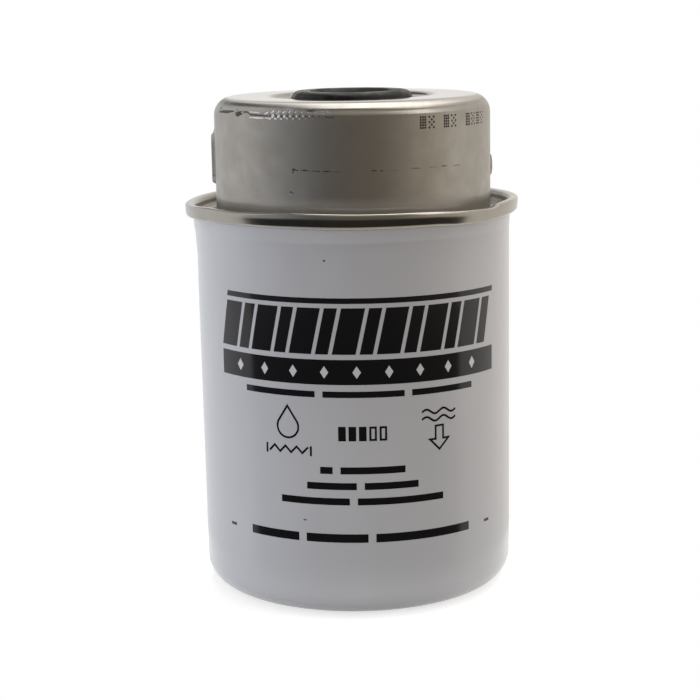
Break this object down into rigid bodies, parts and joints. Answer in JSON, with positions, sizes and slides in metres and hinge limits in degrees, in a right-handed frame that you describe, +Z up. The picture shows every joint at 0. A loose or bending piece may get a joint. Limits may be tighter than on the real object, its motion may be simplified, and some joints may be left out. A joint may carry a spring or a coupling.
{
  "type": "diesel fuel filter",
  "caption": "Stepped canister diesel fuel filter and water separator with keyed steel cap, rolled seam, rubber top grommet and a hand-turned drain plug in its recessed base.",
  "frame": {"origin": "middle of the ring that the can stands on, at floor level", "axes": "+Z up along the can's axis, out through the grommet; -Y faces the viewer of the printed side; -X carries the long key"},
  "size_m": [0.0844, 0.0844, 0.1241],
  "materials": {
    "can_enamel": "gloss",
    "tinplate": "satin",
    "plate_steel": "satin",
    "spring_steel": "satin",
    "zinc_steel": "satin",
    "nitrile_rubber": "matte",
    "seam_rubber": "matte",
    "filter_paper": "matte",
    "potting_resin": "gloss",
    "divider_nylon": "satin",
    "screen_nylon": "satin",
    "plug_nylon": "satin"
  },
  "bodies": {
    "cartridge": {"lower_can": "can_enamel", "upper_cap": "tinplate", "seam_compound": "seam_rubber", "top_grommet": "nitrile_rubber", "upper_end_plate": "plate_steel", "secondary_potting_top": "potting_resin", "secondary_media": "filter_paper", "secondary_tube": "plate_steel", "water_screen": "screen_nylon", "secondary_potting_bottom": "potting_resin", "divider_plate": "divider_nylon", "post_seal": "nitrile_rubber", "primary_potting_top": "potting_resin", "primary_media": "filter_paper", "primary_tube": "plate_steel", "primary_potting_bottom": "potting_resin", "lower_end_plate": "plate_steel", "element_spring": "spring_steel", "drain_insert": "zinc_steel"},
    "drain_gasket": {"drain_gasket": "nitrile_rubber"},
    "drain_plug": {"drain_plug": "plug_nylon"}
  },
  "joints": [
    {"name": "drain_travel", "type": "slide", "parent": "cartridge", "child": "drain_gasket", "axis": [0, 0, -1], "range_m": [0, 0.003]},
    {"name": "drain_turn", "type": "hinge", "parent": "drain_gasket", "child": "drain_plug", "pos_m": [0, 0, 0.006], "axis": [0, 0, -1], "range_deg": [0, 720]}
  ],
  "couplings": [
    {"joint": "drain_travel", "follows": "drain_turn", "m_per_rad": 0.00023873}
  ]
}
